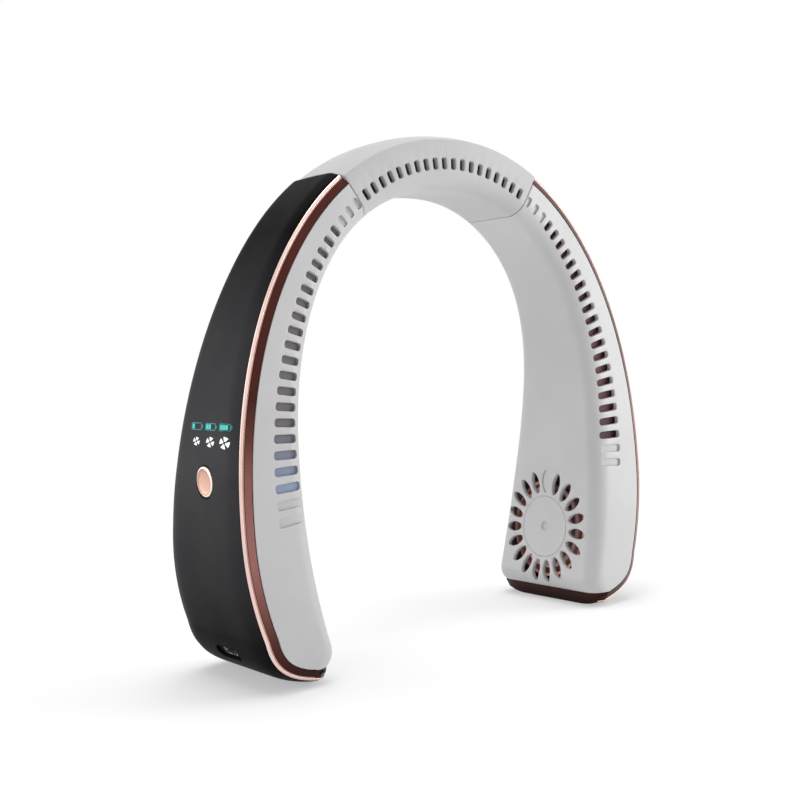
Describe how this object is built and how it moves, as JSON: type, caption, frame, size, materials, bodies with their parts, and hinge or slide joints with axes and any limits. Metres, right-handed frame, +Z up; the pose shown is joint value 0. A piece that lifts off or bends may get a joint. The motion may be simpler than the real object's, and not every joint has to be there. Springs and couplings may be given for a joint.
{
  "type": "electric neck fan",
  "caption": "Bladeless neck fan: slotted U-shaped air duct on a flexible silicone band, with a blower, grille and black panel in each arm tip.",
  "frame": {"origin": "midway between the two arm tips, on the surface that they stand on", "axes": "+Z up towards the neck band, +X towards the arm without controls, slotted face towards -Y"},
  "size_m": [0.195, 0.06, 0.1897],
  "materials": {
    "silicone": "soft matte silicone",
    "shell_grey": "fine satin",
    "rose_metal": "satin rose gold",
    "panel_black": "satin black",
    "inner_plastic": "matte",
    "impeller_grey": "matte",
    "wire": "insulated wire",
    "steel": "bare",
    "copper": "copper windings on iron",
    "cell_wrap": "shrink wrap",
    "board_green": "solder mask",
    "light_clear": "clear"
  },
  "bodies": {
    "neck_band": {"neck_sleeve": "silicone", "band_duct_frame": "inner_plastic", "band_harness": "wire"},
    "left_arm": {"left_arm_shell": "shell_grey", "left_trim_frame": "rose_metal", "left_outer_panel": "panel_black", "left_seam_collar": "inner_plastic", "left_duct_partition": "inner_plastic", "left_volute": "inner_plastic", "left_blower_screws": "steel", "left_motor_stator": "copper", "left_battery": "cell_wrap", "control_board": "board_green", "board_screws": "steel", "tact_switch": "inner_plastic", "usb_c_socket": "steel", "light_guide": "light_clear"},
    "right_arm": {"right_arm_shell": "shell_grey", "right_trim_frame": "rose_metal", "right_outer_panel": "panel_black", "right_seam_collar": "inner_plastic", "right_duct_partition": "inner_plastic", "right_volute": "inner_plastic", "right_blower_screws": "steel", "right_motor_stator": "copper", "right_battery": "cell_wrap"},
    "left_impeller": {"left_impeller": "impeller_grey", "left_rotor_magnet": "steel", "left_motor_shaft": "steel"},
    "right_impeller": {"right_impeller": "impeller_grey", "right_rotor_magnet": "steel", "right_motor_shaft": "steel"},
    "power_button": {"power_button": "rose_metal", "switch_plunger": "inner_plastic"}
  },
  "joints": [
    {"name": "left_arm_flex", "type": "hinge", "parent": "neck_band", "child": "left_arm", "pos_m": [-0.04027, -0.0125, 0.16658], "axis": [0, 1, 0], "range_deg": [-4, 10], "stiffness_Nm_per_rad": 6, "deforming": ["neck_sleeve", "band_harness"]},
    {"name": "right_arm_flex", "type": "hinge", "parent": "neck_band", "child": "right_arm", "pos_m": [0.04027, -0.0125, 0.16658], "axis": [0, -1, 0], "range_deg": [-4, 10], "stiffness_Nm_per_rad": 6, "deforming": ["neck_sleeve", "band_harness"]},
    {"name": "left_impeller_spin", "type": "hinge", "parent": "left_arm", "child": "left_impeller", "pos_m": [-0.06627, 0.00258, 0.03102], "axis": [-0.9872, 0, -0.1596], "continuous": true},
    {"name": "right_impeller_spin", "type": "hinge", "parent": "right_arm", "child": "right_impeller", "pos_m": [0.06627, 0.00258, 0.03102], "axis": [0.9872, 0, -0.1596], "continuous": true},
    {"name": "power_button_press", "type": "slide", "parent": "left_arm", "child": "power_button", "axis": [1, 0, 0], "range_m": [0, 0.0004], "stiffness_N_per_m": 1200}
  ]
}
